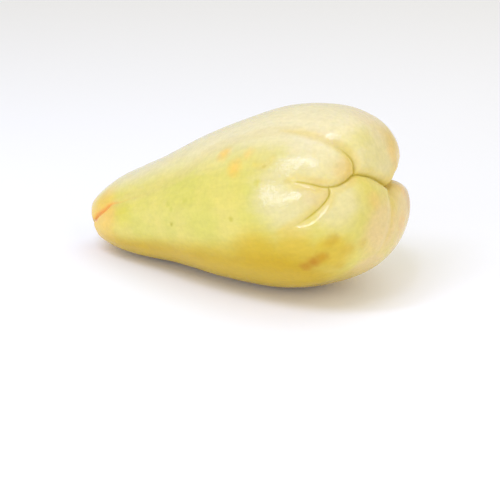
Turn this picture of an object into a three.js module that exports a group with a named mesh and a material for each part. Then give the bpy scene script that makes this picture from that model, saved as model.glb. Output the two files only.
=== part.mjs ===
// A whole chayote squash, lying on its side: a pear-shaped fruit with a puckered, furrowed
// blossom end and a small sunken scar at the stem end. It grew in one piece, so it is one
// solid, as picked.
//
// Frame, in millimetres: +Z up, the surface it lies on at Z = 0, +X towards the blossom end,
// -Y towards the near side, and the origin under the middle of the fruit's own box.

import * as THREE from 'three';
import { mergeVertices } from 'three/addons/utils/BufferGeometryUtils.js';

// The plain pear, before anything is pressed into it. Its outline is turned about the fruit's
// long axis, which runs from the stem end at 0 to the blossom end at LENGTH.
const LENGTH = 155;
const BELLY_AT = 115; // the thickest place, measured from the stem end
const BELLY_RADIUS = 38;
const WIDTH_TO_HEIGHT = 1.06; // the fruit is a little wider than it is tall
const STEM_FULLNESS = 21; // how far the outline holds its direction as it leaves each place
const FLANK_FULLNESS = 15;
const SHOULDER_FULLNESS = 32;
const BLOSSOM_FULLNESS = 22.5;
const WAIST = { at: 50, drawnIn: 1.9, spread: 24, fadesBelowRadius: 12 };

// How it lies: the blossom end is raised by LIE_ANGLE, and the underside is flattened by
// REST_FLAT where its weight has rested.
const LIE_ANGLE = 14.4; // degrees
const REST_FLAT = 0.6;

// Places on the skin are given as [near, up]: the angle in degrees along the skin from the
// blossom end, 0, to the stem end, 180, laid out towards the near side and upwards.

// Furrows are creases between rounded shoulders: [near, up, depth, shoulder width]. The
// bottom of a crease is rounded off over CREASE_ROUND at SHARPEST_DEPTH, and more where it is
// shallower, so that every furrow fades out softly, or much deeper, in the folded mouth.
const CREASE_ROUND = 1.2;
const SHARPEST_DEPTH = 2;
const ROUND_PER_EXTRA_DEPTH = 0.15;
const FURROWS = {
  mouth: [
    [44, 18.5, 0, 3], [40.5, 16.5, 0.5, 3.5], [36, 13.2, 1.1, 4.2], [32, 10.2, 1.5, 4.6],
    [27, 9, 1.9, 5.2], [22.4, 9.5, 2.2, 5.2], [18, 10.5, 2.5, 5], [12.8, 8.6, 2.8, 5],
    [7, 5.7, 3.1, 5], [1.5, 2.4, 3.8, 5], [-4, -1, 5.4, 5.2], [-9, 0.8, 9, 6],
    [-14, 1.2, 12, 7.5], [-20, 1.2, 13, 8.5], [-27, -1.5, 10, 8.5], [-35, -5, 4.2, 6],
    [-43, -9, 1.4, 3.5], [-50, -12, 0, 2],
  ],
  nearUpper: [
    [18, 10.5, 2.5, 5], [16.2, 16, 2, 5.2], [18.6, 24, 1.5, 6.5], [21.8, 32.5, 0.7, 7],
    [28, 47, 0, 7],
  ],
  nearLower: [
    [30.4, 9.6, 1.7, 5], [31.4, 6.2, 1.6, 4], [35, 2.8, 1.8, 6], [39, 0, 2, 8],
    [44, -3, 1.3, 8], [52, -7, 0.4, 8], [60, -12, 0, 8],
  ],
  lower: [
    [-4, -1, 5.4, 5.2], [0.8, -4.2, 1.5, 5], [2.8, -9, 0.7, 5], [5.4, -16, 0.3, 5.5],
    [10, -28, 0, 5],
  ],
  farUpper: [
    [-20, 1.2, 13, 9], [-24, 5, 4.6, 6.5], [-32, 18, 2, 5], [-50, 44, 0, 6],
  ],
  farLower: [
    [-27, -1.5, 10, 9], [-30, -9, 3.8, 5.5], [-38, -22, 1.2, 5], [-49, -35, 0, 5],
  ],
  stemFold: [
    [170, 8, 1.6, 3], [163, 20, 1.3, 2.6], [157, 38, 1.1, 2.4], [150, 50, 0.9, 2.2],
    [143, 58, 0.8, 2.2], [129, 73, 0.4, 2], [122, 69, 0.2, 2], [103, 66, 0, 2],
  ],
};

// Valleys are soft hollows with no crease: [near, up, depth, width].
const VALLEYS = {
  aroundTheMouth: [
    [31, 11, 0, 6], [22, 9.5, 0.7, 7], [12.8, 8.6, 1.1, 8], [1.5, 2.4, 1.6, 9],
    [-9, -0.6, 1.9, 9], [-15, 0, 2.5, 9], [-22, 0, 2.5, 9], [-32, -4, 1.4, 8.5],
    [-52, -13, 0, 8],
  ],
  nearFlank: [
    [17, 13, 0, 6], [17.5, 20, 0.7, 8.5], [22, 33, 1, 9.5], [28, 47, 0.8, 9], [49, 73, 0.8, 8],
    [79, 67, 0.7, 8], [122, 69, 0.8, 5], [160, 24, 0.8, 3],
  ],
  nearBelly: [
    [34, 4, 0, 5], [39, 0, 0.5, 7.5], [44, -3, 0.7, 8], [52, -8, 0.7, 8], [62, -15, 0.8, 8],
    [105, -30, 0, 8],
  ],
  underneath: [[5, -16, 0, 6], [10, -28, 0.6, 7], [16, -45, 0.9, 8], [20, -100, 0, 9]],
  farFlank: [[-38, 27, 0, 6], [-52, 46, 0.9, 7], [-100, 62, 0.6, 7], [-130, 60, 0, 6]],
  farBelly: [[-40, -24, 0, 6], [-54, -40, 0.8, 7], [-74, -54, 0.7, 8], [-100, -66, 0, 9]],
};

// The sunken scar that the stem leaves, and the places where the flesh is fuller.
const STEM_SCAR = { at: [173, -2], depth: 3.6, radius: 5.2 };
const SWELLINGS = [
  { at: [-18, -17], height: 1.2, spread: 15 }, // the lobe below the mouth's far end
  { at: [-16, 20], height: 0.9, spread: 12 }, // the lobe above it
  { at: [8, 25], height: 1.5, spread: 11 }, // the same lobe's near shoulder
  { at: [15, -74], height: 1.3, spread: 18 }, // the underside that it lies on, near half
  { at: [-15, -74], height: 1.3, spread: 18 }, // and far half
];

// Facets: the longest edge on a furrow's line, how much longer it may be for each millimetre
// away from the line, and the longest of all.
const FINEST_EDGE = 1.5;
const EDGE_GROWTH = 0.42;
const COARSEST_EDGE = 6;
const BALL_DETAIL = 8; // facets along each edge of the icosahedron that all starts from
const STEPS_PER_SPAN = 10; // straight steps between two hand-placed points of a line

const stemCap = new THREE.CubicBezierCurve(
  new THREE.Vector2(0, 0),
  new THREE.Vector2(0, STEM_FULLNESS),
  new THREE.Vector2(BELLY_AT - FLANK_FULLNESS, BELLY_RADIUS),
  new THREE.Vector2(BELLY_AT, BELLY_RADIUS),
);
const blossomCap = new THREE.CubicBezierCurve(
  new THREE.Vector2(BELLY_AT, BELLY_RADIUS),
  new THREE.Vector2(BELLY_AT + SHOULDER_FULLNESS, BELLY_RADIUS),
  new THREE.Vector2(LENGTH, BLOSSOM_FULLNESS),
  new THREE.Vector2(LENGTH, 0),
);
const outline = new THREE.CurvePath();
outline.add(stemCap);
outline.add(blossomCap);

const bell = (distance, spread) => Math.exp(-((distance / spread) ** 2));

// The outline's point a fraction of the way from the stem end to the blossom end.
function outlineAt(fraction) {
  const point = outline.getPoint(THREE.MathUtils.clamp(fraction, 0, 1));
  const waist = WAIST.drawnIn * bell(point.x - WAIST.at, WAIST.spread);
  point.y -= waist * Math.min(1, point.y / WAIST.fadesBelowRadius);
  return point;
}

// The direction from the middle of a ball that stands for the place [near, up].
function directionOf([near, up]) {
  const polar = THREE.MathUtils.degToRad(Math.hypot(near, up));
  const turn = Math.atan2(near, up);
  const side = Math.sin(polar);
  return new THREE.Vector3(Math.cos(polar), -side * Math.sin(turn), side * Math.cos(turn));
}

// The plain pear's point and outward normal in a direction.
function pearAt(direction) {
  const side = Math.max(Math.hypot(direction.y, direction.z), 1e-9);
  const fraction = 1 - Math.atan2(side, direction.x) / Math.PI;
  const { x: along, y: radius } = outlineAt(fraction);
  const point = new THREE.Vector3(
    along - LENGTH / 2,
    (radius * WIDTH_TO_HEIGHT * direction.y) / side,
    (radius * direction.z) / side,
  );
  const tangent = outlineAt(fraction + 1e-4).sub(outlineAt(fraction - 1e-4));
  const normal = new THREE.Vector3(
    -tangent.y,
    (tangent.x * direction.y) / side / WIDTH_TO_HEIGHT,
    (tangent.x * direction.z) / side,
  ).normalize();
  return { point, normal };
}

// A smooth line over the skin through hand-placed points, with its depth and width.
function lineThrough(places) {
  const route = new THREE.SplineCurve(places.map((place) => new THREE.Vector2(place[0], place[1])));
  const press = new THREE.SplineCurve(places.map((place) => new THREE.Vector2(place[2], place[3])));
  const steps = STEPS_PER_SPAN * (places.length - 1);
  return Array.from({ length: steps + 1 }, (_, step) => {
    const { x: near, y: up } = route.getPoint(step / steps);
    const { x: depth, y: width } = press.getPoint(step / steps);
    return { point: pearAt(directionOf([near, up])).point, depth, width };
  });
}

// The place on a line that lies nearest to a point of the skin.
function nearestOn(line, point) {
  let best = { distance: Infinity };
  const stretch = new THREE.Line3();
  const foot = new THREE.Vector3();
  for (let i = 1; i < line.length; i += 1) {
    const [from, to] = [line[i - 1], line[i]];
    stretch.set(from.point, to.point);
    const share = stretch.closestPointToPointParameter(point, true);
    const distance = stretch.at(share, foot).distanceTo(point);
    if (distance < best.distance) {
      best = {
        distance,
        depth: THREE.MathUtils.lerp(from.depth, to.depth, share),
        width: THREE.MathUtils.lerp(from.width, to.width, share),
      };
    }
  }
  return best;
}

const furrowLines = Object.values(FURROWS).map(lineThrough);
const valleyLines = Object.values(VALLEYS).map(lineThrough);
const stemScar = pearAt(directionOf(STEM_SCAR.at)).point;

// A round shoulder's fall, from 0 at its outer edge to 1 at the crease, where across is 0.
const shoulderDrop = (across) => 1 - Math.sqrt(1 - (1 - Math.min(across, 1)) ** 2);

// How far the skin sinks below the plain pear. Furrows that meet run into one another.
function furrowDepth(point) {
  let total = 0;
  for (const line of furrowLines) {
    const { distance, depth, width } = nearestOn(line, point);
    const extraDepth = depth - SHARPEST_DEPTH;
    const softness = CREASE_ROUND + Math.max(-extraDepth, ROUND_PER_EXTRA_DEPTH * extraDepth);
    const round = Math.min(softness, 0.8 * width);
    const bottom = shoulderDrop(round / width);
    const press = depth * (shoulderDrop(Math.hypot(distance, round) / width) / bottom);
    total += press ** 4;
  }
  return total ** (1 / 4);
}

function valleyDepth(point) {
  return valleyLines.reduce((sum, line) => {
    const { distance, depth, width } = nearestOn(line, point);
    return sum + depth * bell(distance, width);
  }, 0);
}

function swellingHeight(direction) {
  return SWELLINGS.reduce((sum, { at, height, spread }) => {
    const angle = THREE.MathUtils.radToDeg(direction.angleTo(directionOf(at)));
    return sum + height * bell(angle, spread);
  }, 0);
}

// A corner of the skin, before it is pressed. Its gap is how far it is from any furrow.
function cornerAt(direction) {
  const { point } = pearAt(direction);
  const gap = Math.min(...furrowLines.map((line) => nearestOn(line, point).distance));
  return { direction, point, gap };
}

function isTooLong(from, to) {
  const allowed = FINEST_EDGE + EDGE_GROWTH * Math.min(from.gap, to.gap);
  return from.point.distanceTo(to.point) > Math.min(allowed, COARSEST_EDGE);
}

// Splits every edge that is too long at its middle, and the facets along with it.
function splitOnce(corners, facets) {
  const middles = new Map();
  const middleOf = (a, b) => {
    const key = a < b ? `${a} ${b}` : `${b} ${a}`;
    if (!middles.has(key)) {
      const [from, to] = [corners[a], corners[b]];
      const middle = from.direction.clone().add(to.direction).normalize();
      middles.set(key, isTooLong(from, to) ? corners.push(cornerAt(middle)) - 1 : undefined);
    }
    return middles.get(key);
  };
  return facets.flatMap(([a, b, c]) => {
    const [ab, bc, ca] = [middleOf(a, b), middleOf(b, c), middleOf(c, a)];
    const split = [ab, bc, ca].filter((middle) => middle !== undefined).length;
    if (split === 0) return [[a, b, c]];
    if (split === 3) return [[a, ab, ca], [ab, b, bc], [ca, bc, c], [ab, bc, ca]];
    // Turned so that the first edge is split and, of two, the last is the whole one.
    const turns = [[a, b, c, ab, bc], [b, c, a, bc, ca], [c, a, b, ca, ab]];
    const [p, q, r, pq, qr] = turns.find((turn) => turn[3] !== undefined
      && (split === 1 || turn[4] !== undefined));
    if (split === 1) return [[p, pq, r], [pq, q, r]];
    return [[p, pq, r], [pq, q, qr], [pq, qr, r]];
  });
}

function skinAt(direction) {
  const { point, normal } = pearAt(direction);
  const scar = STEM_SCAR.depth * bell(point.distanceTo(stemScar), STEM_SCAR.radius);
  const rise = swellingHeight(direction) - furrowDepth(point) - valleyDepth(point) - scar;
  return point.addScaledVector(normal, rise);
}

// A closed ball of facets, split where the furrows need it.
function skinFacets() {
  const ball = new THREE.IcosahedronGeometry(1, BALL_DETAIL);
  ball.deleteAttribute('normal');
  ball.deleteAttribute('uv');
  const merged = mergeVertices(ball);
  const places = merged.getAttribute('position');
  const corners = Array.from({ length: places.count }, (_, i) => (
    cornerAt(new THREE.Vector3().fromBufferAttribute(places, i).normalize())
  ));
  const index = merged.getIndex().array;
  let facets = Array.from({ length: index.length / 3 }, (_, i) => [...index.slice(3 * i, 3 * i + 3)]);
  for (let before = 0; before !== facets.length;) {
    before = facets.length;
    facets = splitOnce(corners, facets);
  }
  return { corners, facets };
}

// Each corner moves to its place on the fruit. The fruit is then tilted to the way it lies,
// set down, and flattened where it rests.
function fruitGeometry() {
  const { corners, facets } = skinFacets();
  const geometry = new THREE.BufferGeometry();
  geometry.setFromPoints(corners.map(({ direction }) => skinAt(direction)));
  geometry.setIndex(facets.flat());
  geometry.rotateY(THREE.MathUtils.degToRad(-LIE_ANGLE));
  geometry.computeBoundingBox();
  const { min, max } = geometry.boundingBox;
  geometry.translate(-(min.x + max.x) / 2, -(min.y + max.y) / 2, -min.z - REST_FLAT);
  const skinPoints = geometry.getAttribute('position');
  for (let i = 0; i < skinPoints.count; i += 1) {
    skinPoints.setZ(i, Math.max(skinPoints.getZ(i), 0));
  }
  geometry.computeVertexNormals();
  return geometry;
}

const skin = new THREE.MeshStandardMaterial({ color: '#e4d583', roughness: 0.42, metalness: 0 });
const fruit = new THREE.Mesh(fruitGeometry(), skin);
fruit.name = 'chayote_fruit';

const chayote = new THREE.Group();
chayote.add(fruit);

export default chayote;
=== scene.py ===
# %% [markdown]
# # A chayote squash
#
# A chayote is a pear-shaped squash with one flat seed, picked whole and sold as it grew. Its
# blossom end folds in on itself like a closed mouth, with furrows running out between plump
# lobes, and its stem end keeps a small sunken scar. The CAD step made the fruit as one solid
# and fixed its size and its place. Here the same fruit is made again with a much finer skin,
# then coloured and lit. Sizes are written in millimetres and turned into metres for Blender.

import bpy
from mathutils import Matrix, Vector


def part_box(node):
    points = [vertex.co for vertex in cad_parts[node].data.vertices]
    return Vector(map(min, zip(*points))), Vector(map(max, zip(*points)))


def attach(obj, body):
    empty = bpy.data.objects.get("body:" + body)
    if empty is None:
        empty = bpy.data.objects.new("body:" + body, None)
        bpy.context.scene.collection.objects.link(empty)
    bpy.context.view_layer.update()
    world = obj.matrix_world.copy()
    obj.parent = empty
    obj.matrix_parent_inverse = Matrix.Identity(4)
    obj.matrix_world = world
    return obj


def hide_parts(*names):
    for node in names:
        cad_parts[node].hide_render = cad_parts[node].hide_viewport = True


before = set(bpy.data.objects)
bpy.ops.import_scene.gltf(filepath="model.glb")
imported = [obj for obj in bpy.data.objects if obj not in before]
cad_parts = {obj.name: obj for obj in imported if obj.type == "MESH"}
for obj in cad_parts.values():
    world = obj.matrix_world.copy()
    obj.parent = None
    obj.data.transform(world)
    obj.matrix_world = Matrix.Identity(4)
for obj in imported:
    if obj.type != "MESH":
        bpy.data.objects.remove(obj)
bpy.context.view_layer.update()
print("solids in the frame:", list(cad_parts))

# %% Bring in the tools and measure the solid
import math

import bmesh
import bpy
import numpy as np
from mathutils import Quaternion, Vector, noise

MM = 0.001  # metres
NODE = "chayote_fruit"

low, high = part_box(NODE)
print("solid, mm:", [round(side / MM, 1) for side in high - low])

# %% [markdown]
# ## The view
#
# A small thing keeps its true proportions when it is seen from a little way off through a
# long lens. A wide lens close by would swell the nearest lobes. So a 100 mm lens stands at
# sixty centimetres on the near side, turned towards the blossom end and looking slightly
# down. It comes before the fruit so that every later step can be judged through it.

# %% Camera
LENS = 100.0  # mm, in front of a sensor this wide:
SENSOR_WIDTH = 36.0
TURNED = math.radians(30)
LOOKING_DOWN = math.radians(20)
DISTANCE = 601 * MM
LOOK_AT = Vector((7.75, 0.0, 11.25)) * MM

camera_data = bpy.data.cameras.new("product_camera")
camera_data.lens = LENS
camera_data.sensor_width = SENSOR_WIDTH
camera = bpy.data.objects.new("product_camera", camera_data)
bpy.context.scene.collection.objects.link(camera)
to_camera = Vector((
    math.sin(TURNED) * math.cos(LOOKING_DOWN),
    -math.cos(TURNED) * math.cos(LOOKING_DOWN),
    math.sin(LOOKING_DOWN),
))
camera.location = LOOK_AT + to_camera * DISTANCE
camera.rotation_mode = "QUATERNION"
camera.rotation_quaternion = to_camera.to_track_quat("Z", "Y")
bpy.context.scene.camera = camera
print("camera, mm:", [round(place / MM) for place in camera.location])

# %% [markdown]
# ## The plain pear
#
# Under its furrows the fruit is a pear: a blunt stem end, a nearly straight flank and a full
# belly close to the blossom end. It could be sculpted, but a turned outline is easier to
# measure and to change. The outline is two Bezier curves drawn in a little at the waist, and
# a slight widening makes the belly wider than it is tall.

# %% Outline of the pear, mm
LENGTH = 155.0
BELLY_AT = 115.0
BELLY_RADIUS = 38.0
WIDTH_TO_HEIGHT = 1.06
STEM_FULLNESS = 21.0
FLANK_FULLNESS = 15.0
SHOULDER_FULLNESS = 32.0
BLOSSOM_FULLNESS = 22.5
WAIST_AT = 50.0
WAIST_DRAWN_IN = 1.9
WAIST_SPREAD = 24.0
WAIST_FADES_BELOW_RADIUS = 12.0
OUTLINE_STEPS = 1500


def bell(distance, spread):
    """1 in the middle, fading smoothly to almost nothing at twice the spread."""
    return np.exp(-((distance / spread) ** 2))


def bezier(ends):
    """Points along a curve between two ends, steered by the two points given between."""
    share = np.linspace(0, 1, OUTLINE_STEPS)[:, None]
    a, b, c, d = (np.array(end, float) for end in ends)
    rest = 1 - share
    return rest**3 * a + 3 * rest**2 * share * b + 3 * rest * share**2 * c + share**3 * d


stem_cap = bezier([
    (0, 0), (0, STEM_FULLNESS), (BELLY_AT - FLANK_FULLNESS, BELLY_RADIUS), (BELLY_AT, BELLY_RADIUS),
])
blossom_cap = bezier([
    (BELLY_AT, BELLY_RADIUS), (BELLY_AT + SHOULDER_FULLNESS, BELLY_RADIUS),
    (LENGTH, BLOSSOM_FULLNESS), (LENGTH, 0),
])
outline = np.vstack([stem_cap, blossom_cap[1:]])
outline_travel = np.concatenate([[0], np.cumsum(np.linalg.norm(np.diff(outline, axis=0), axis=1))])
outline_travel /= outline_travel[-1]
print("outline points:", len(outline), "widest radius:", outline[:, 1].max())


# %% [markdown]
# ## Places on the skin
#
# A place is named as on a map centred on the blossom end: two angles along the skin, towards
# the near side and upwards, in degrees. The stem end is 180 degrees away. Such a map makes it
# easy to draw the furrows, because they all start from the middle of it.

# %% From the map to the pear
SLIVER = 1e-9  # keeps a division safe at the two ends
SLIVER_SQUARED = 1e-12
SHORT_WAY = 1e-3  # of the outline, to tell its slope


def outline_at(fraction):
    """Along and radius, a fraction of the way from the stem end to the blossom end."""
    along = np.interp(fraction, outline_travel, outline[:, 0])
    radius = np.interp(fraction, outline_travel, outline[:, 1])
    waist = WAIST_DRAWN_IN * bell(along - WAIST_AT, WAIST_SPREAD)
    return along, radius - waist * np.minimum(1, radius / WAIST_FADES_BELOW_RADIUS)


def directions_of(near, up):
    """Directions from the middle of a ball that stand for places on the map."""
    polar = np.radians(np.hypot(near, up))
    turn = np.arctan2(near, up)
    side = np.sin(polar)
    return np.stack([np.cos(polar), -side * np.sin(turn), side * np.cos(turn)], axis=-1)


def pear_at(directions):
    """Points and outward normals of the plain pear, in mm, its middle at the origin."""
    x, y, z = directions.T
    side = np.maximum(np.hypot(y, z), SLIVER)
    fraction = 1 - np.arctan2(side, x) / np.pi
    along, radius = outline_at(fraction)
    points = np.stack(
        [along - LENGTH / 2, radius * WIDTH_TO_HEIGHT * y / side, radius * z / side], axis=-1
    )
    before = outline_at(np.clip(fraction - SHORT_WAY, 0, 1))
    after = outline_at(np.clip(fraction + SHORT_WAY, 0, 1))
    run, rise = after[0] - before[0], after[1] - before[1]
    normals = np.stack([-rise, run * y / side / WIDTH_TO_HEIGHT, run * z / side], axis=-1)
    return points, normals / np.linalg.norm(normals, axis=1, keepdims=True)


blossom_tip, _ = pear_at(directions_of(np.array([0.0]), np.array([0.0])))
print("blossom end at, mm:", blossom_tip.round(1)[0])

# %% [markdown]
# ## Furrows and valleys
#
# A furrow is where two lobes have grown against each other: the skin rolls in over a round
# shoulder on both sides and meets in a crease. Its route is a smooth line through a few
# given points, each with the furrow's depth and the width of its shoulders. A valley is
# a soft hollow with no crease. Both press the skin in by what lies nearest on their lines.

# %% Furrows
# Each place: near and up in degrees, then in mm the depth, the width of the left and of the
# right shoulder, and how rounded the bottom of the crease is.
FURROWS = {
    "mouth": [
        (44, 18.5, 0, 3, 3, 0.3), (40.5, 16.5, 0.5, 3.5, 3.5, 0.12),
        (36, 13.2, 1.1, 4.2, 4.2, 0.1), (32, 10.2, 1.5, 4.6, 4.6, 0.1),
        (27, 9, 1.9, 3.5, 5.2, 0.1), (22.4, 9.5, 2.2, 3.5, 5.5, 0.1),
        (18, 10.5, 2.5, 4, 5.5, 0.1), (12.8, 8.6, 2.8, 4, 5.5, 0.1),
        (7, 5.7, 3.1, 4.2, 5.5, 0.1), (1.5, 2.4, 3.8, 4.5, 5.5, 0.1),
        (-4, -1, 5.4, 4.8, 5, 0.12), (-9, 0.8, 9, 5, 5.5, 0.15), (-14, 1.2, 12, 6, 6.5, 0.2),
        (-20, 1.2, 13, 6.5, 8, 0.2), (-27, -1.5, 10, 7, 8, 0.2), (-35, -5, 4.2, 6, 6, 0.15),
        (-43, -9, 1.4, 3.5, 3.5, 0.2), (-50, -12, 0, 2, 2, 0.3),
    ],
    "near_upper": [
        (18, 10.5, 2.5, 5, 5, 0.1), (16.2, 16, 2.0, 4, 6.5, 0.25), (18.6, 24, 1.5, 4, 8.5, 0.8),
        (21.8, 32.5, 0.7, 4.5, 9, 1.3), (28, 47, 0, 5, 8, 1.5),
    ],
    "near_lower": [
        (30.4, 9.6, 1.7, 2.0, 5, 0.1), (31.4, 6.2, 1.6, 1.8, 5.5, 0.1),
        (35, 2.8, 1.8, 5, 7.5, 0.1), (39, 0, 2.0, 7.5, 8.5, 0.15), (44, -3, 1.3, 8, 8.5, 0.5),
        (52, -7, 0.4, 8, 8, 1.2), (60, -12, 0, 8, 8, 2.0),
    ],
    "lower": [
        (-4, -1, 5.4, 5, 5, 0.12), (0.8, -4.2, 1.1, 4.5, 5.5, 0.9), (2.8, -9, 0.55, 5, 5.5, 1.4),
        (5.4, -16, 0.3, 5, 5.5, 1.5), (10, -28, 0, 5, 5, 2.0),
    ],
    "far_upper": [
        (-20, 1.2, 13, 9, 9, 0.2), (-24, 5, 4.6, 6.5, 6.5, 0.2), (-32, 18, 2, 5.5, 5.5, 0.8),
        (-50, 44, 0, 6, 6, 2.0),
    ],
    "far_lower": [
        (-27, -1.5, 10, 9, 9, 0.2), (-30, -9, 3.8, 5.5, 5.5, 0.2), (-38, -22, 1.2, 5, 5, 1.0),
        (-49, -35, 0, 5, 5, 1.5),
    ],
    "stem_fold": [
        (170, 8, 1.6, 3, 3, 0.2), (163, 20, 1.3, 2.6, 2.6, 0.2), (157, 38, 1.1, 2.2, 2.2, 0.2),
        (150, 50, 0.9, 2, 2, 0.25), (143, 58, 0.8, 2, 2, 0.3), (129, 73, 0.4, 1.8, 1.8, 0.5),
        (122, 69, 0.2, 1.6, 1.6, 0.7), (103, 66, 0, 1.2, 1.2, 0.8),
    ],
    "wrinkle": [
        (50.3, 35.2, 0, 1.2, 1.2, 0.5), (48.2, 31.9, 0.16, 1.4, 1.4, 0.4),
        (44.7, 32.5, 0.12, 1.3, 1.3, 0.5), (42.4, 33.7, 0, 1.2, 1.2, 0.5),
    ],
}
print("deepest place of each furrow, mm:", {
    name: max(place[2] for place in places) for name, places in FURROWS.items()
})

# %% Valleys: near and up in degrees, depth and width in mm
VALLEYS = {
    "around_the_mouth": [
        (31, 11, 0, 6), (22, 9.5, 0.7, 7), (12.8, 8.6, 1.1, 8), (1.5, 2.4, 1.6, 9),
        (-9, -0.6, 1.9, 9), (-15, 0, 2.5, 9), (-22, 0, 2.5, 9), (-32, -4, 1.4, 8.5),
        (-52, -13, 0, 8),
    ],
    "near_flank": [
        (17, 13, 0, 6), (17.5, 20, 0.7, 8.5), (22, 33, 1.0, 9.5), (28, 47, 0.8, 9),
        (49, 73, 0.8, 8), (79, 67, 0.7, 8), (122, 69, 0.8, 5), (160, 24, 0.8, 3),
    ],
    "near_belly": [
        (34, 4, 0, 5), (39, 0, 0.5, 7.5), (44, -3, 0.7, 8), (52, -8, 0.7, 8), (62, -15, 0.8, 8),
        (105, -30, 0, 8),
    ],
    "underneath": [(5, -16, 0, 6), (10, -28, 0.6, 7), (16, -45, 0.9, 8), (20, -100, 0, 9)],
    "far_flank": [(-38, 27, 0, 6), (-52, 46, 0.9, 7), (-100, 62, 0.6, 7), (-130, 60, 0, 6)],
    "far_belly": [(-40, -24, 0, 6), (-54, -40, 0.8, 7), (-74, -54, 0.7, 8), (-100, -66, 0, 9)],
}
print("deepest place of each valley, mm:", {
    name: max(place[2] for place in places) for name, places in VALLEYS.items()
})

# %% Smooth lines through the places
STEPS_PER_SPAN = 8


def line_through(places):
    """A smooth line over the pear, with its sizes at each step."""
    places = np.array(places, float)
    padded = np.vstack([places[:1], places, places[-1:]])
    share = np.linspace(0, 1, STEPS_PER_SPAN, endpoint=False)[:, None]
    steps = []
    for before, start, end, after in zip(padded, padded[1:], padded[2:], padded[3:]):
        slope_in, slope_out = (end - before) / 2, (after - start) / 2
        bend = 3 * (end - start) - 2 * slope_in - slope_out
        twist = slope_in + slope_out - 2 * (end - start)
        steps.append(start + share * slope_in + share**2 * bend + share**3 * twist)
    steps = np.vstack([*steps, places[-1:]])
    points, _ = pear_at(directions_of(steps[:, 0], steps[:, 1]))
    return points, steps[:, 2:]


furrow_lines = {name: line_through(places) for name, places in FURROWS.items()}
valley_lines = {name: line_through(places) for name, places in VALLEYS.items()}
for name, (points, _) in furrow_lines.items():
    furrow_length = np.linalg.norm(np.diff(points, axis=0), axis=1).sum()
    print("furrow", name, "mm long:", furrow_length.round())


# %% How far a point of the skin is from a line
REACH = 30.0  # mm; a line does nothing further away than this
BATCH = 8000  # points measured at a time, to spare memory


def nearest_on(line, points):
    """Distance from each point to a line, which side it is on, and the line's sizes there."""
    route, sizes = line
    starts, spans = route[:-1], np.diff(route, axis=0)
    lengths = (spans**2).sum(axis=1) + SLIVER_SQUARED
    gaps = np.full(len(points), REACH)
    is_left = np.zeros(len(points), bool)
    found = np.zeros((len(points), sizes.shape[1])) + sizes.max(axis=0)
    found[:, 0] = 0
    box_low, box_high = route.min(axis=0) - REACH, route.max(axis=0) + REACH
    inside = np.all((points > box_low) & (points < box_high), axis=1)
    for batch in np.array_split(np.flatnonzero(inside), max(1, inside.sum() // BATCH)):
        offsets = points[batch, None] - starts
        shares = np.clip((offsets * spans).sum(axis=2) / lengths, 0, 1)
        distances = np.linalg.norm(offsets - shares[..., None] * spans, axis=2)
        best = distances.argmin(axis=1)
        rows = np.arange(len(batch))
        share = shares[rows, best][:, None]
        gaps[batch] = np.minimum(distances[rows, best], REACH)
        across = np.cross(spans[best], offsets[rows, best])
        is_left[batch] = (across * points[batch]).sum(axis=1) > 0
        found[batch] = sizes[best] * (1 - share) + sizes[best + 1] * share
    return gaps, is_left, *found.T


mouth_gap = nearest_on(furrow_lines["mouth"], blossom_tip)[0]
print("blossom end to the mouth's line, mm:", mouth_gap.round(2))


# %% How deep the skin is pressed
UNION_POWER = 4  # joins furrows that meet, without adding their depths
ROUNDEST = 0.8  # a crease's rounding is at most this much of its shoulder


def shoulder_drop(across):
    """A round shoulder's fall, from 0 at its outer edge to 1 at the crease."""
    return 1 - np.sqrt(1 - (1 - np.minimum(across, 1)) ** 2)


def furrow_depths(points):
    """How deep the furrows press each point in, with a round shoulder on both sides."""
    total = np.zeros(len(points))
    for line in furrow_lines.values():
        gap, is_left, depth, left, right, rounding = nearest_on(line, points)
        width = np.where(is_left, left, right)
        soft = np.minimum(rounding, ROUNDEST * width)
        press = shoulder_drop(np.hypot(gap, soft) / width) / shoulder_drop(soft / width)
        total += np.maximum(depth * press, 0) ** UNION_POWER
    return total ** (1 / UNION_POWER)


def valley_depths(points):
    """How deep the valleys press each point in. Where they meet, their depths add up."""
    total = np.zeros(len(points))
    for line in valley_lines.values():
        gap, _, depth, width = nearest_on(line, points)
        total += depth * bell(gap, width)
    return total


print("furrow and valley at the blossom end, mm:",
      furrow_depths(blossom_tip).round(2), valley_depths(blossom_tip).round(2))

# %% [markdown]
# ## Scar and swellings
#
# The stalk broke off where the stem end is now a small sunken scar. Between the furrows the
# lobes are a little fuller than the plain pear, and so is the underside that the fruit lies
# on. A dome or a hollow that fades out like a bell needs no edge, so each is one place, one
# height and one spread.

# %% Scar and swellings
STEM_SCAR_AT = (173, -2)
STEM_SCAR_DEPTH = 3.6
STEM_SCAR_RADIUS = 5.2
SWELLINGS = [  # near, up, height in mm, spread in degrees
    (-18, -17, 1.2, 15), (-16, 20, 0.9, 12), (8, 25, 1.5, 11), (15, -74, 1.3, 18),
    (-15, -74, 1.3, 18),
]


def scar_depths(points):
    """How deep the scar presses each point in."""
    scar_middle, _ = pear_at(directions_of(*np.array(STEM_SCAR_AT, float)[:, None]))
    return STEM_SCAR_DEPTH * bell(np.linalg.norm(points - scar_middle, axis=1), STEM_SCAR_RADIUS)


def swelling_heights(directions):
    """How far the lobes and the underside stand out from the plain pear."""
    total = np.zeros(len(directions))
    for near, up, height, spread in SWELLINGS:
        towards = directions_of(np.array([near]), np.array([up]))[0]
        angles = np.degrees(np.arccos(np.clip(directions @ towards, -1, 1)))
        total += height * bell(angles, spread)
    return total


print("swelling at the blossom end, mm:", swelling_heights(np.array([[1.0, 0, 0]])).round(2))

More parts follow.
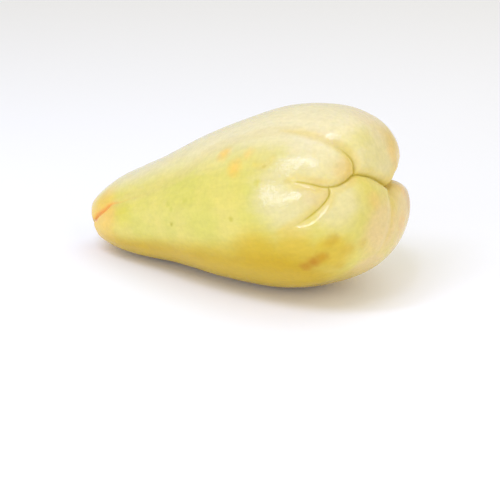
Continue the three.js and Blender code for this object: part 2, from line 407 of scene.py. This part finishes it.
# %% [markdown]
# ## The skin's own relief
#
# No fruit is as smooth as its outline. Broad low swells a few centimetres across come from
# uneven growth, faint ribs run lengthwise, and the skin between them is slightly dimpled.
# These are real shape, so they are moved vertices. Only the grain of the skin, a millimetre
# or so across, is left to the material's bump.

# %% Relief of the skin, mm
SWELLS = [  # size across, height
    (34.0, 0.55), (13.0, 0.16), (5.0, 0.05),
]
RIB_SPACING = 7.0
RIB_HEIGHT = 0.10
RIB_STRETCH = 9.0


def relief(points):
    """Swells of each size and the lengthwise ribs, at each point."""
    total = np.zeros(len(points))
    for i, (x, y, z) in enumerate(points):
        height = sum(tall * noise.noise(Vector((x, y, z)) / size) for size, tall in SWELLS)
        rib = Vector((x / RIB_STRETCH, y, z)) / RIB_SPACING
        total[i] = height + RIB_HEIGHT * noise.noise(rib)
    return total


print("relief at the blossom end, mm:", relief(blossom_tip).round(2))

# %% [markdown]
# ## A ball with fine creases
#
# The mesh starts as an icosphere, because its triangles are nearly even and it has no poles.
# The furrows need finer ones: a shoulder rolls in within a few millimetres. So edges near
# them are divided twice more, and the rest stays light.

# %% How near a crease a point is
CREASE_DEPTH = 0.5  # mm; a shallower furrow counts as further away, so that it fades out
CREASE_FADE = 3.0
CREASE_ROUNDING = 0.3  # mm; so does one with a rounder bottom


def crease_gaps(points, names):
    """How far each point is from the named furrows, where they are real creases."""
    gaps = np.full(len(points), REACH)
    for name in names:
        gap, _, depth, _, _, rounding = nearest_on(furrow_lines[name], points)
        too_shallow = np.clip(CREASE_DEPTH - depth, 0, None) * CREASE_FADE
        too_round = np.clip(rounding - CREASE_ROUNDING, 0, None)
        gaps = np.minimum(gaps, gap + too_shallow + too_round)
    return gaps


print("blossom end to the nearest crease, mm:", crease_gaps(blossom_tip, FURROWS).round(2))

# %% Divide the ball
BALL_LEVELS = 7
DIVIDE_WITHIN = [5.0, 1.8]

ball = bmesh.new()
bmesh.ops.create_icosphere(ball, subdivisions=BALL_LEVELS, radius=1.0)


def ball_directions():
    directions = np.array([corner.co for corner in ball.verts])
    return directions / np.linalg.norm(directions, axis=1, keepdims=True)


for within in DIVIDE_WITHIN:
    pear_points, _ = pear_at(ball_directions())
    is_close = crease_gaps(pear_points, FURROWS) < within
    edges = [edge for edge in ball.edges if any(is_close[corner.index] for corner in edge.verts)]
    bmesh.ops.subdivide_edges(ball, edges=edges, cuts=1, use_grid_fill=True)
    bmesh.ops.triangulate(ball, faces=ball.faces[:])
    ball.verts.index_update()
    print("triangles after dividing within", within, "mm:", len(ball.faces))

# %% [markdown]
# ## Shaping and laying the fruit down
#
# Each corner of the ball moves to its place on the pear and is pressed in or out along the
# pear's normal. The fruit is then tilted the way it lies, centred on the solid, and flattened
# where its weight rests.

# %% Shape the fruit
LIE_ANGLE = math.radians(14.4)
REST_FLAT = 0.6


def laid_down(points):
    """Turns points of the standing pear to the way the fruit lies."""
    x, y, z = points.T
    along = x * math.cos(LIE_ANGLE) - z * math.sin(LIE_ANGLE)
    height = x * math.sin(LIE_ANGLE) + z * math.cos(LIE_ANGLE)
    return np.stack([along, y, height], axis=-1)


def shaped(directions):
    points, normals = pear_at(directions)
    sunk = furrow_depths(points) + valley_depths(points) + scar_depths(points)
    raised = swelling_heights(directions) + relief(points)
    return laid_down(points + normals * (raised - sunk)[:, None])


directions = ball_directions()
skin = shaped(directions)
middle = (skin.min(axis=0) + skin.max(axis=0)) / 2
solid_middle = np.array((low + high) / 2) / MM
shift = np.array([
    solid_middle[0] - middle[0], solid_middle[1] - middle[1], -skin[:, 2].min() - REST_FLAT,
])
skin += shift
skin[:, 2] = np.maximum(skin[:, 2], 0)
print("skin, mm:", (skin.max(axis=0) - skin.min(axis=0)).round(1), "shift:", shift.round(2))

# %% Make the fruit's mesh
fruit_mesh = bpy.data.meshes.new("chayote_skin")
ball.to_mesh(fruit_mesh)
ball.free()
fruit_mesh.vertices.foreach_set("co", (skin * MM).astype(np.float32).ravel())
fruit_mesh.shade_smooth()
fruit_mesh.update()
fruit = bpy.data.objects.new("chayote_fruit_skin", fruit_mesh)
bpy.context.scene.collection.objects.link(fruit)
print("fruit triangles:", len(fruit_mesh.polygons))

# %% [markdown]
# ## Where the skin ripened, and where light and shade are painted on it
#
# The colour of a chayote changes slowly over its skin: tan on the lobes and orange where it
# hung from the stem. Other zones are painted light and shade: painted shade on the lobes' far
# rims and underneath, a painted sheen on top, and on the near lobes and the low belly a paler
# and a deeper colour that are partly the peel's own and partly painted light and shade. Each
# of these zones is a number kept at every corner of the skin, which the material reads later.
# It is simpler to place zones by the fruit's own shape than by a picture wrapped round it.

# %% Patches of ripened colour and of painted light and shade: near and up in degrees, spread in mm
PATCHES = {
    "upper_lobes": [(-12, 15, 17), (-8, 29, 11), (22.3, 13.6, 7), (36, 9, 7)],
    "lower_lobes": [(-14, -16, 25), (8, -14, 15), (10, -32, 11)],
    # paler near lobes: partly the peel's own cream, partly painted light where they face the lamps
    "pale_and_lit_lobes": [(30, 3, 13), (46, 13, 18), (30, 24, 14), (3, 12, 12), (12, 14, 7)],
    # deeper ochre low on the near belly: partly the peel's own ochre, partly painted shade
    "ochre_and_shade_belly": [(46, -22, 13), (60, -26, 14), (33, -20, 10)],
    # painted shade on the far rims of the lobes, which turn away from the lamps
    "painted_far_rim_shade": [
        (-22.5, 27, 7), (-22.5, 22.5, 7.5), (-22, 18, 7.5), (-21.5, 13.5, 7), (-16.5, -7.5, 6),
        (-16.5, -11.5, 6.5), (-16.5, -15.5, 6.5), (-16.5, -19.5, 6.5), (-16, -23.5, 6.5),
        (-15, -27.5, 6.5), (-12.5, -31.5, 6.5), (-9, -35.5, 6.5), (-5, -38.5, 5.5),
    ],
    "stem": [(172, 0, 17), (146, 52, 13)],
}

plain, plain_normals = pear_at(directions)


def keep_on_skin(name, values):
    """Stores one number for each corner of the skin, for the material to read."""
    layer = fruit_mesh.attributes.new(name, "FLOAT", "POINT")
    layer.data.foreach_set("value", np.asarray(values, np.float32))
    print("zone", name, "from", values.min().round(2), "to", values.max().round(2))


def ripe_and_painted_patches(places):
    """1 at the middle of each soft patch, fading to 0 around it."""
    total = np.zeros(len(plain))
    for near, up, spread in places:
        middle_of_patch, _ = pear_at(directions_of(np.array([near]), np.array([up])))
        total = np.maximum(total, bell(np.linalg.norm(plain - middle_of_patch, axis=1), spread))
    return total


for name, places in PATCHES.items():
    keep_on_skin(name, ripe_and_painted_patches(places))

# %% Zones that follow the way the skin faces: a painted sheen on top and painted shade underneath
TOP_SHEEN_BEYOND = 0.375  # how far the skin has to face up, 1 being straight up
SHADED_BELOW = -0.0375
FACING_GAIN = 1.6  # how fast both zones come in
BLOSSOM_END_AT = 78.0  # mm from the pear's middle; the painted shade underneath fades out towards the blossom end
PALER_OVER = 38.0
PALEST = 0.2

facing_up = laid_down(plain_normals)[:, 2]
to_stem_end = np.clip((BLOSSOM_END_AT - plain[:, 0]) / PALER_OVER, PALEST, 1)
shaded = np.clip((SHADED_BELOW - facing_up) * FACING_GAIN, 0, 1)
# painted sheen: where the skin faces up it is painted paler, as the reflection of the bright room
keep_on_skin("painted_top_sheen", np.clip((facing_up - TOP_SHEEN_BEYOND) * FACING_GAIN, 0, 1))
# painted shade: where the skin faces down it is painted a deeper ochre, less of it towards the
# blossom end
keep_on_skin("underside", shaded * to_stem_end)

# %% Zones along the valleys, the creases and the scar, mm
FLANK_BAND_WIDTH = 3.5
FLANK_GAIN = 1.5  # how fast the band comes in as the valley gets deeper
STEM_LINE_WIDTH = 1.1
CREASE_SHADE_WIDTH = 0.4
FOLD_SHADE_WIDTH = 3.5

flank_gap, _, flank_depth, _ = nearest_on(valley_lines["near_flank"], plain)
crease_gap = crease_gaps(plain, [name for name in FURROWS if name != "stem_fold"])
flank_share = np.clip(flank_depth * FLANK_GAIN, 0, 1)
keep_on_skin("flank_band", bell(flank_gap, FLANK_BAND_WIDTH) * flank_share)
keep_on_skin("stem_line", bell(crease_gaps(plain, ["stem_fold"]), STEM_LINE_WIDTH))
# painted shade: a darker yellow-olive line along the creases
keep_on_skin("crease", bell(crease_gap, CREASE_SHADE_WIDTH))
# painted shade and painted bounce light: a fuller yellow a few millimetres either side of the
# creases
keep_on_skin("fold", bell(crease_gap, FOLD_SHADE_WIDTH))
keep_on_skin("scar", scar_depths(plain) / STEM_SCAR_DEPTH)

# %% [markdown]
# ## Colours
#
# Colours are written as the sRGB values that a colour picker shows. Shading is worked out in
# linear light, so one function turns them. A second one adds a node to a material with its
# settings and its links, which keeps the material's cells short.

# %% Turn a colour to linear light
def linear(hex_colour):
    """The standard sRGB curve, undone for each channel."""
    channels = [int(hex_colour[i:i + 2], 16) / 255 for i in (1, 3, 5)]
    light = [c / 12.92 if c <= 0.04045 else ((c + 0.055) / 1.055) ** 2.4 for c in channels]
    return (*light, 1.0)


print("middle grey in linear light:", round(linear("#808080")[0], 3))


# %% Add a node
# A colour mix has several sockets of one name, so its sockets are given by number.
MIX_SHARE, MIX_UNDER, MIX_OVER, MIX_RESULT = 0, 6, 7, 2


def add_node(tree, kind, settings=None, sockets=None):
    """Adds a node. A socket is given another node's output to link, or a plain value."""
    made = tree.nodes.new(kind)
    for name, value in (settings or {}).items():
        setattr(made, name, value)
    for socket, value in (sockets or {}).items():
        if isinstance(value, bpy.types.NodeSocket):
            tree.links.new(value, made.inputs[socket])
        else:
            made.inputs[socket].default_value = value
    return made


print("node helper ready")

# %% [markdown]
# ## Waxy chayote skin
#
# The skin is a thin living peel under a natural coat of wax, which grew with no polish. It
# shows as a satin gloss broken up by a fine grain, over a pale yellow-green flesh that lets
# a little light in. IOR 1.45 is typical of plant wax. The peel itself is given no gloss, so
# that all of it comes from the wax, which is smoother than the peel. The colour is laid on
# in this order: ground colour, ripening zones and painted light and shade, marks, then the
# creases with their painted shade, and the flecks.

# %% Start the skin's material
GROWTH_STRETCH = 5.0  # the fruit grew lengthwise, and its colours are drawn out the same way
waxy_skin = bpy.data.materials.new("waxy_chayote_skin")
waxy_skin.use_nodes = True
skin_tree = waxy_skin.node_tree
skin_tree.nodes.clear()
here = add_node(skin_tree, "ShaderNodeTexCoord").outputs["Object"]
along_fruit = add_node(skin_tree, "ShaderNodeVectorRotate", {"rotation_type": "Y_AXIS"}, {
    "Vector": here, "Angle": LIE_ANGLE,
}).outputs["Vector"]
lengthwise = add_node(skin_tree, "ShaderNodeVectorMath", {"operation": "MULTIPLY"}, {
    0: along_fruit, 1: (1 / GROWTH_STRETCH, 1.0, 1.0),
}).outputs[0]
print("material started:", waxy_skin.name)

# %% Ground colour
GROUND_YELLOW = "#dacb68"
GROUND_GREEN = "#d1c75e"
MOTTLE_SIZE = 22 * MM
YELLOW_BELOW = 0.35  # of the mottle noise, which stays close to a half
GREEN_ABOVE = 0.65

mottle = add_node(skin_tree, "ShaderNodeTexNoise", None, {
    "Vector": here, "Scale": 1 / MOTTLE_SIZE, "Detail": 3.0, "Roughness": 0.55,
}).outputs["Fac"]
mottle_amount = add_node(skin_tree, "ShaderNodeMapRange", {"interpolation_type": "SMOOTHSTEP"}, {
    "Value": mottle, "From Min": YELLOW_BELOW, "From Max": GREEN_ABOVE,
}).outputs["Result"]
skin_colour = add_node(skin_tree, "ShaderNodeMix", {"data_type": "RGBA"}, {
    MIX_SHARE: mottle_amount, MIX_UNDER: linear(GROUND_YELLOW), MIX_OVER: linear(GROUND_GREEN),
}).outputs[MIX_RESULT]
print("mottles, mm across:", MOTTLE_SIZE / MM)

# %% Lay the ripening zones and the painted light and shade over the ground colour
ZONE_FINISH = {  # colour, strength, size of the uneven edge in mm
    "upper_lobes": ("#d8b266", 0.75, 6),
    "lower_lobes": ("#dfc08c", 0.72, 7),
    # paler near lobes: partly the peel's own cream, partly painted light where they face the lamps
    "pale_and_lit_lobes": ("#ddd09a", 0.75, 6),
    # low near belly: partly the peel's own ochre, partly painted shade
    "ochre_and_shade_belly": ("#d0ac08", 0.68, 5),
    # painted shade on the far rims: a darker tan where the lobes turn away from the lamps
    "painted_far_rim_shade": ("#c09c62", 0.7, 8),
    # painted sheen on top: a paler cream standing for the room's reflection
    "painted_top_sheen": ("#e7dab4", 0.75, 12),
    "flank_band": ("#d9c27a", 0.25, 6),
    # painted shade underneath: a deeper ochre where the skin faces down
    "underside": ("#c4a000", 0.92, 12),
    "stem": ("#edb748", 0.6, 9),
    # painted shade and painted bounce light beside the creases
    "fold": ("#dcbf4a", 0.32, 3),
}
WOBBLE = 0.35  # how far noise moves the edge of a zone

for name, (colour, strength, wobble_size) in ZONE_FINISH.items():
    spread = add_node(skin_tree, "ShaderNodeAttribute", {"attribute_name": name}).outputs["Fac"]
    wobble = add_node(skin_tree, "ShaderNodeTexNoise", None, {
        "Vector": lengthwise, "Scale": 1 / (wobble_size * MM), "Detail": 3.0,
    }).outputs["Fac"]
    nudged = add_node(skin_tree, "ShaderNodeMath", {"operation": "MULTIPLY_ADD"}, {
        0: wobble, 1: WOBBLE, 2: spread,
    }).outputs[0]
    amount = add_node(skin_tree, "ShaderNodeMapRange", {"interpolation_type": "SMOOTHSTEP"}, {
        "Value": nudged, "From Min": WOBBLE, "From Max": 1.0, "To Max": strength,
    }).outputs["Result"]
    skin_colour = add_node(skin_tree, "ShaderNodeMix", {"data_type": "RGBA"}, {
        MIX_SHARE: amount, MIX_UNDER: skin_colour, MIX_OVER: linear(colour),
    }).outputs[MIX_RESULT]
print("zones laid:", list(ZONE_FINISH))

# %% [markdown]
# Spots sit where something touched the fruit or the sun caught it: orange ones on the upper
# flank, small green dots, an ochre bruise low on the belly and a faint blush on the lobes.
# Each is a soft-edged patch around one place, measured from a slightly scattered position
# so that no edge comes out as a perfect circle.

# %% Marks: near and up in degrees, radius in mm, colour, strength
MARKS = [
    (58.5, 41.7, 3.9, "#f0bb50", 0.6), (53.1, 59.0, 3.4, "#eebc50", 0.7),
    (47.9, 45.5, 2.6, "#efc25e", 0.45),
    (107.8, 1.9, 1.0, "#a89a08", 0.7), (73.8, 4.5, 1.1, "#b8aa10", 0.55),
    (55.3, 24.0, 1.8, "#cabf28", 0.4), (104.1, 25.0, 1.2, "#b9b341", 0.4),
    (93.4, 31.2, 1.2, "#b9b341", 0.4), (103.9, 32.7, 1.3, "#b9b341", 0.35),
    (40.3, -29.3, 2.6, "#b88200", 0.85), (38.0, -25.1, 2.8, "#b88000", 0.95),
    (35.5, -21.7, 2.8, "#bd8c00", 0.8), (32.1, -12.3, 2.4, "#c49c1c", 0.5),
    (34.3, -14.6, 2.0, "#c49c1c", 0.4), (25.7, -18.3, 2.8, "#c8a22c", 0.45),
    (20.4, -16.8, 2.4, "#c8a22c", 0.35), (26.9, -27.8, 2.6, "#c49c1c", 0.4),
    (47.9, 31.7, 0.9, "#b89c20", 0.3), (135.0, 34.9, 6.0, "#d3c536", 0.5),
    (-11.5, -4.5, 3.2, "#e3b060", 0.5), (13.0, -1.5, 4.0, "#e8bd6c", 0.45),
    (-5.0, -16.0, 4.5, "#e3b068", 0.4), (-6.0, 12.0, 3.5, "#ecc274", 0.4),
]
print("marks:", len(MARKS))

# %% Scatter the position a little
SCATTER_SIZE = 3 * MM
SCATTER = 2.4 * MM  # from one end of the noise to the other

scatter = add_node(skin_tree, "ShaderNodeTexNoise", None, {
    "Vector": here, "Scale": 1 / SCATTER_SIZE, "Detail": 3.0,
}).outputs["Color"]
centred = add_node(skin_tree, "ShaderNodeVectorMath", {"operation": "SUBTRACT"}, {
    0: scatter, 1: (0.5, 0.5, 0.5),
}).outputs[0]
scattered = add_node(skin_tree, "ShaderNodeVectorMath", {"operation": "MULTIPLY_ADD"}, {
    0: centred, 1: (SCATTER, SCATTER, SCATTER), 2: here,
}).outputs[0]
print("scatter, mm:", SCATTER / MM)

# %% Lay the marks
MARK_EDGE_OUTSIDE = 1.6  # where a mark has faded out, in its own radii
MARK_EDGE_INSIDE = 0.1  # where it has its full strength


def place_on_skin(near, up):
    """Where a place on the map is on the finished skin, in mm."""
    direction = directions_of(np.array([near], float), np.array([up], float))
    return (shaped(direction) + shift)[0]


for near, up, radius, colour, strength in MARKS:
    place = place_on_skin(near, up) * MM
    distance = add_node(skin_tree, "ShaderNodeVectorMath", {"operation": "DISTANCE"}, {
        0: scattered, 1: tuple(place),
    }).outputs["Value"]
    amount = add_node(skin_tree, "ShaderNodeMapRange", {"interpolation_type": "SMOOTHSTEP"}, {
        "Value": distance, "To Max": strength,
        "From Min": MARK_EDGE_OUTSIDE * radius * MM, "From Max": MARK_EDGE_INSIDE * radius * MM,
    }).outputs["Result"]
    skin_colour = add_node(skin_tree, "ShaderNodeMix", {"data_type": "RGBA"}, {
        MIX_SHARE: amount, MIX_UNDER: skin_colour, MIX_OVER: linear(colour),
    }).outputs[MIX_RESULT]
print("marks laid:", len(MARKS))

# %% [markdown]
# Deep in a furrow the skin is painted a fuller, darker yellow, as painted shade and painted
# bounce light, because light reaches it only by way of the skin on both sides. The fold at the
# stem is orange and the scar is brown cork. These run along the furrows, so they are zones
# kept on the skin too, but with clean edges.

# %% Colour the creases and the scar
LINE_FINISH = {  # colour, strength
    "stem_line": ("#ec9430", 0.85),
    # painted shade along the crease line
    "crease": ("#c6b01c", 0.72),
    "scar": ("#8f6d35", 0.6),
}

for name, (colour, strength) in LINE_FINISH.items():
    spread = add_node(skin_tree, "ShaderNodeAttribute", {"attribute_name": name}).outputs["Fac"]
    amount = add_node(skin_tree, "ShaderNodeMapRange", None, {
        "Value": spread, "To Max": strength,
    }).outputs["Result"]
    skin_colour = add_node(skin_tree, "ShaderNodeMix", {"data_type": "RGBA"}, {
        MIX_SHARE: amount, MIX_UNDER: skin_colour, MIX_OVER: linear(colour),
    }).outputs[MIX_RESULT]
print("lines laid:", list(LINE_FINISH))

# %% [markdown]
# Look closely and the peel has faint lengthwise streaks, with flecks in between. They only
# make the colour a few per cent lighter or darker, whatever it is, so they come last and
# multiply it.

# %% Streaks and flecks
FLECK_SIZE = 1.8 * MM
STREAK_WIDTH = 2.2 * MM
DARKEST_BELOW = 0.7  # of the two noises added, which together stay close to 1
LIGHTEST_ABOVE = 1.3
DARKEST = 0.94
LIGHTEST = 1.04

streaks = add_node(skin_tree, "ShaderNodeTexNoise", None, {
    "Vector": lengthwise, "Scale": 1 / STREAK_WIDTH, "Detail": 2.0,
}).outputs["Fac"]
flecks = add_node(skin_tree, "ShaderNodeTexNoise", None, {
    "Vector": here, "Scale": 1 / FLECK_SIZE, "Detail": 3.0,
}).outputs["Fac"]
unevenness = add_node(skin_tree, "ShaderNodeMath", {"operation": "ADD"}, {
    0: streaks, 1: flecks,
}).outputs[0]
lightness = add_node(skin_tree, "ShaderNodeMapRange", None, {
    "Value": unevenness, "From Min": DARKEST_BELOW, "From Max": LIGHTEST_ABOVE,
    "To Min": DARKEST, "To Max": LIGHTEST,
}).outputs["Result"]
skin_colour = add_node(skin_tree, "ShaderNodeVectorMath", {"operation": "SCALE"}, {
    0: skin_colour, "Scale": lightness,
}).outputs[0]
print("skin nodes:", len(skin_tree.nodes))

# %% [markdown]
# The grain is a bump of two sizes: shallow dimples a millimetre and a half apart, and pores
# that are a third of a millimetre across on the real peel, drawn twice as coarse so that
# they show. Peel and wax share them, and they break up the highlights the way a real skin
# does.

# %% Grain of the skin
DIMPLE_SIZE = 1.4 * MM
DIMPLE_DEPTH = 0.1 * MM
GRAIN_SIZE = 0.7 * MM
GRAIN_DEPTH = 0.04 * MM

dimples = add_node(skin_tree, "ShaderNodeTexNoise", None, {
    "Vector": here, "Scale": 1 / DIMPLE_SIZE, "Detail": 2.0,
}).outputs["Fac"]
dimpled = add_node(skin_tree, "ShaderNodeBump", None, {
    "Height": dimples, "Strength": 1.0, "Distance": DIMPLE_DEPTH,
}).outputs["Normal"]
fine_grain = add_node(skin_tree, "ShaderNodeTexNoise", None, {
    "Vector": here, "Scale": 1 / GRAIN_SIZE, "Detail": 2.0,
}).outputs["Fac"]
grained = add_node(skin_tree, "ShaderNodeBump", None, {
    "Height": fine_grain, "Strength": 1.0, "Distance": GRAIN_DEPTH, "Normal": dimpled,
}).outputs["Normal"]
print("dimples and pores, mm apart:", DIMPLE_SIZE / MM, GRAIN_SIZE / MM)

# %% Peel, wax and flesh
SMOOTHEST_BELOW = 0.3  # of the mottle noise; greener skin is a little duller
ROUGHEST_ABOVE = 0.7
PEEL_SMOOTHEST = 0.26
PEEL_ROUGHEST = 0.34
NO_GLOSS = 0.0
WAX_IOR = 1.45
WAX_COVER = 0.85
WAX_ROUGHNESS = 0.08
FLESH_GLOW = 0.5
FLESH_REACH = 3.0 * MM
REACH_OF_RED_GREEN_BLUE = (1.0, 0.75, 0.25)  # the flesh soaks up blue soonest

dullness = add_node(skin_tree, "ShaderNodeMapRange", None, {
    "Value": mottle, "From Min": SMOOTHEST_BELOW, "From Max": ROUGHEST_ABOVE,
    "To Min": PEEL_SMOOTHEST, "To Max": PEEL_ROUGHEST,
}).outputs["Result"]
flesh_settings = {"subsurface_method": "RANDOM_WALK"}
skin_shader = add_node(skin_tree, "ShaderNodeBsdfPrincipled", flesh_settings, {
    "Base Color": skin_colour, "Roughness": dullness, "Normal": grained, "IOR": WAX_IOR,
    "Specular IOR Level": NO_GLOSS, "Coat Normal": grained, "Coat IOR": WAX_IOR,
    "Coat Weight": WAX_COVER, "Coat Roughness": WAX_ROUGHNESS,
    "Subsurface Weight": FLESH_GLOW, "Subsurface Scale": FLESH_REACH,
    "Subsurface Radius": REACH_OF_RED_GREEN_BLUE,
})
add_node(skin_tree, "ShaderNodeOutputMaterial", None, {"Surface": skin_shader.outputs["BSDF"]})
fruit_mesh.materials.append(waxy_skin)
print("finished material:", waxy_skin.name, "with", len(skin_tree.nodes), "nodes")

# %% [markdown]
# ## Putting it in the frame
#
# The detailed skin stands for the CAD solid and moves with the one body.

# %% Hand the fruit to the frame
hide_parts(NODE)
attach(fruit, "root")
print(fruit.name, "stands for", NODE)

# %% [markdown]
# ## Floor and light
#
# The fruit lies on matte white paper, which is as good as free of gloss, in a bright white
# room that fills every shadow. The satin patches on the lobes are reflections of lamps: two
# strip softboxes on the near left and two small lamps nearer the middle, all a cool
# daylight white. Two broad panels, above and to the right, light the floor and the far side.

# %% Floor
FLOOR_SIZE = 4.0  # metres
PAPER_WHITE = "#fdfdfd"
PAPER_ROUGHNESS = 0.9
PAPER_IOR = 1.45

paper = bpy.data.materials.new("matte_paper_floor")
paper.use_nodes = True
paper_tree = paper.node_tree
paper_tree.nodes.clear()
paper_shader = add_node(paper_tree, "ShaderNodeBsdfPrincipled", None, {
    "Base Color": linear(PAPER_WHITE), "Roughness": PAPER_ROUGHNESS, "IOR": PAPER_IOR,
})
add_node(paper_tree, "ShaderNodeOutputMaterial", None, {"Surface": paper_shader.outputs["BSDF"]})

floor_mesh = bpy.data.meshes.new("floor")
half = FLOOR_SIZE / 2
floor_mesh.from_pydata(
    [(-half, -half, 0), (half, -half, 0), (half, half, 0), (-half, half, 0)], [], [(0, 1, 2, 3)],
)
floor_mesh.materials.append(paper)
floor = bpy.data.objects.new("floor", floor_mesh)
bpy.context.scene.collection.objects.link(floor)
print("floor, m:", FLOOR_SIZE)

# %% Lamps
# Each: turned from the front and raised above the floor, in degrees; distance, length and
# width in metres; rolled in degrees, power in watts, colour.
LAMPS = {
    "upper_strip_softbox": (-20, 57, 0.9, 0.42, 0.13, 71, 1.95, "#c8d5ff"),
    "lower_strip_softbox": (-21, 18, 0.9, 0.34, 0.08, -45, 1.25, "#c8d5ff"),
    "high_glint_lamp": (16, 63, 0.9, 0.28, 0.13, -60, 1.15, "#c8d5ff"),
    "low_glint_lamp": (-3, 13, 0.9, 0.13, 0.2, -38, 1.5, "#c8d5ff"),
    "overhead_panel": (150, 65, 1.2, 1.0, 1.0, 0, 1.5, "#ffffff"),
    "right_panel": (75, 25, 1.0, 0.8, 0.8, 0, 2.1, "#ffffff"),
}
for name, (turned, height_angle, distance, length, width, roll, watts, colour) in LAMPS.items():
    lamp_data = bpy.data.lights.new(name, "AREA")
    lamp_data.shape = "RECTANGLE"
    lamp_data.size = length
    lamp_data.size_y = width
    lamp_data.energy = watts
    lamp_data.color = linear(colour)[:3]
    lamp = bpy.data.objects.new(name, lamp_data)
    bpy.context.scene.collection.objects.link(lamp)
    around, above = math.radians(turned), math.radians(height_angle)
    towards = Vector((
        math.sin(around) * math.cos(above), -math.cos(around) * math.cos(above), math.sin(above),
    ))
    lamp.location = LOOK_AT + towards * distance
    lamp.rotation_mode = "QUATERNION"
    rolled = Quaternion((0, 0, 1), math.radians(roll))
    lamp.rotation_quaternion = towards.to_track_quat("Z", "Y") @ rolled
print("lamps:", list(LAMPS))

# %% Room light
ROOM_WHITE = "#fffcf4"
ROOM_STRENGTH = 0.7

room = bpy.data.worlds.new("white_room")
bpy.context.scene.world = room
room.use_nodes = True
room_tree = room.node_tree
room_tree.nodes.clear()
room_light = add_node(room_tree, "ShaderNodeBackground", None, {
    "Color": linear(ROOM_WHITE), "Strength": ROOM_STRENGTH,
})
add_node(room_tree, "ShaderNodeOutputWorld", None, {"Surface": room_light.outputs["Background"]})
bpy.context.scene.view_settings.view_transform = "Standard"
print("room light:", ROOM_WHITE, ROOM_STRENGTH)
